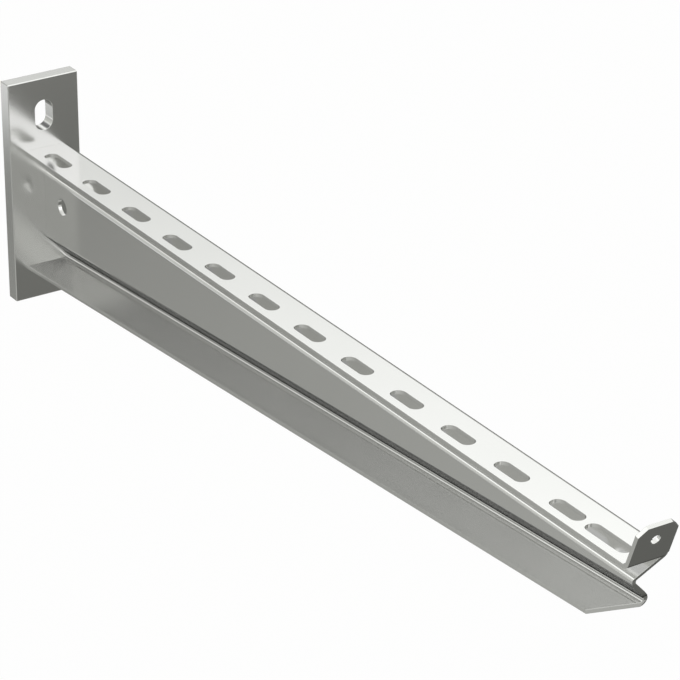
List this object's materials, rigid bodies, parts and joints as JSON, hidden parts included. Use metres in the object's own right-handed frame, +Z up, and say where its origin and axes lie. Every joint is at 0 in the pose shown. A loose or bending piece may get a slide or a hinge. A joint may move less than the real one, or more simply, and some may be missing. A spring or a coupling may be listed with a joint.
{
  "type": "cantilever bracket",
  "caption": "Wall cantilever arm for cable tray: a flat head plate with an upright slotted hole carries a folded, slotted sheet arm that tapers to a small upturned tab.",
  "frame": {"origin": "centre of the head plate's wall face", "axes": "+X out from the wall along the arm, +Y towards the arm's two back folds, +Z up"},
  "size_m": [0.5275, 0.04, 0.12],
  "materials": {
    "plate_steel": "satin zinc",
    "sheet_steel": "glossy zinc"
  },
  "bodies": {
    "root": {"head_plate": "plate_steel", "arm": "sheet_steel"}
  },
  "joints": []
}
